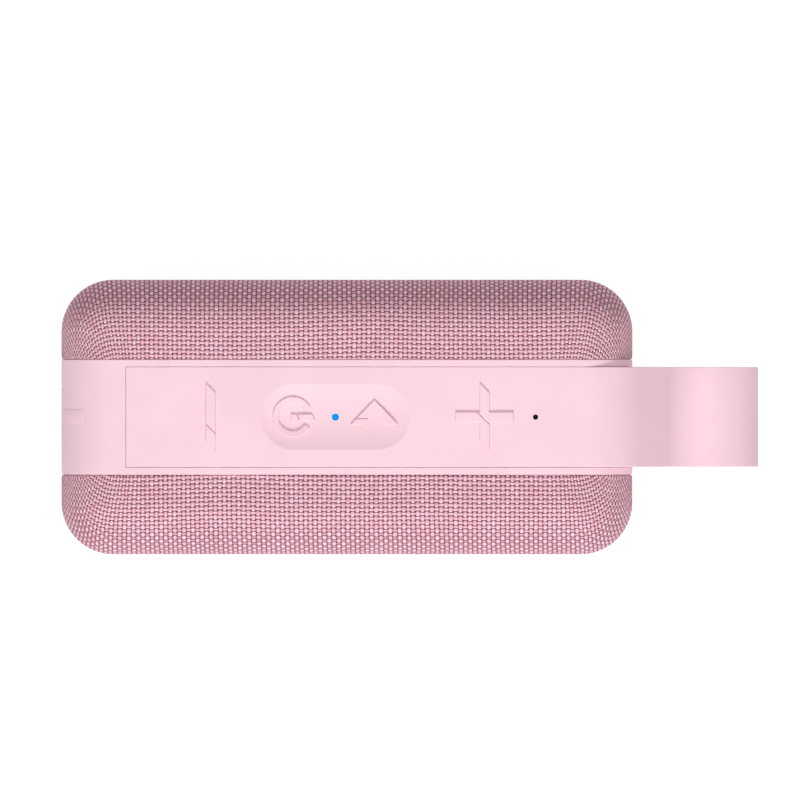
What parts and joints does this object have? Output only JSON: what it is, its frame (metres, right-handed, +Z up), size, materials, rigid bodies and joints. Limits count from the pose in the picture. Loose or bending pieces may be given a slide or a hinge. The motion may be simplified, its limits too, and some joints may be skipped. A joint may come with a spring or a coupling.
{
  "type": "portable speaker",
  "caption": "Pocket wireless speaker: fabric covered rounded box with a plain belt, a strip of pressable keys and a loop strap to hang it by.",
  "frame": {"origin": "centre of the foot pad's flat underside, on the surface that the speaker stands on", "axes": "+Z up through the keys, +X along the body towards the loop strap, -Y towards the driver's front"},
  "size_m": [0.1345, 0.053, 0.0589],
  "materials": {
    "belt": "smooth satin moulding",
    "silicone": "soft matte silicone",
    "fabric": "two tone plain weave",
    "cover_plastic": "fine moulded grain",
    "dark_plastic": "fine moulded grain",
    "dark_rubber": "matte",
    "steel": "zinc plated",
    "circuit_board": "solder mask",
    "chip": "epoxy package",
    "lamp": "lit blue lens",
    "led_chip": "clear epoxy",
    "brass": "gold plated can",
    "membrane": "fine porous film",
    "ferrite": "sintered ferrite",
    "copper": "enamelled copper winding",
    "cone_paper": "pressed pulp",
    "aluminium": "anodised",
    "spider_cloth": "resin dipped cotton",
    "battery_wrap": "shrink wrap",
    "red_wire": "pvc insulation",
    "black_wire": "pvc insulation"
  },
  "bodies": {
    "speaker_body": {"belt_frame": "belt", "front_cover": "cover_plastic", "rear_cover": "cover_plastic", "front_fabric": "fabric", "rear_fabric": "fabric", "front_baffle": "dark_plastic", "rear_baffle": "dark_plastic", "front_gasket": "dark_rubber", "rear_gasket": "dark_rubber", "baffle_screws": "steel", "control_strap": "silicone", "strap_anchor_plates": "steel", "strap_screws": "steel", "switch_board": "circuit_board", "tact_switches": "steel", "status_led": "led_chip", "light_pipe": "lamp", "microphone": "brass", "microphone_boot": "dark_rubber", "microphone_membrane": "membrane", "port_board": "circuit_board", "usb_c_socket": "steel", "port_gasket": "dark_rubber", "driver_basket": "dark_plastic", "driver_magnet": "ferrite", "driver_top_plate": "steel", "driver_yoke": "steel", "driver_surround": "dark_rubber", "driver_spider": "spider_cloth", "driver_screws": "steel", "radiator_frame": "dark_plastic", "radiator_surround": "dark_rubber", "battery_pack": "battery_wrap", "battery_tray": "dark_plastic", "main_board": "circuit_board", "board_parts": "chip", "board_screws": "steel", "driver_leads": "red_wire", "battery_leads": "black_wire"},
    "minus_key": {"minus_key": "silicone", "minus_plunger": "dark_plastic"},
    "power_key": {"power_key": "silicone", "power_plunger": "dark_plastic"},
    "play_key": {"play_key": "silicone", "play_plunger": "dark_plastic"},
    "plus_key": {"plus_key": "silicone", "plus_plunger": "dark_plastic"},
    "port_cover": {"port_cover": "silicone"},
    "diaphragm": {"driver_cone": "cone_paper", "dust_cap": "cone_paper", "voice_coil": "copper"},
    "radiator": {"radiator_plate": "aluminium"}
  },
  "joints": [
    {"name": "minus_press", "type": "slide", "parent": "speaker_body", "child": "minus_key", "axis": [0, 0, 1], "range_m": [-0.00035, 0], "stiffness_N_per_m": 3000},
    {"name": "power_press", "type": "slide", "parent": "speaker_body", "child": "power_key", "axis": [0, 0, 1], "range_m": [-0.00035, 0], "stiffness_N_per_m": 3000},
    {"name": "play_press", "type": "slide", "parent": "speaker_body", "child": "play_key", "axis": [0, 0, 1], "range_m": [-0.00035, 0], "stiffness_N_per_m": 3000},
    {"name": "plus_press", "type": "slide", "parent": "speaker_body", "child": "plus_key", "axis": [0, 0, 1], "range_m": [-0.00035, 0], "stiffness_N_per_m": 3000},
    {"name": "port_cover_hinge", "type": "hinge", "parent": "speaker_body", "child": "port_cover", "pos_m": [-0.0543, 0, 0.0276], "axis": [0, -1, 0], "range_deg": [0, 100]},
    {"name": "driver_stroke", "type": "slide", "parent": "speaker_body", "child": "diaphragm", "axis": [0, -1, 0], "range_m": [-0.0025, 0.0025], "stiffness_N_per_m": 1500, "deforming": ["driver_surround", "driver_spider"]},
    {"name": "radiator_stroke", "type": "slide", "parent": "speaker_body", "child": "radiator", "axis": [0, 1, 0], "range_m": [-0.0025, 0.0025], "stiffness_N_per_m": 1000, "deforming": ["radiator_surround"]}
  ]
}
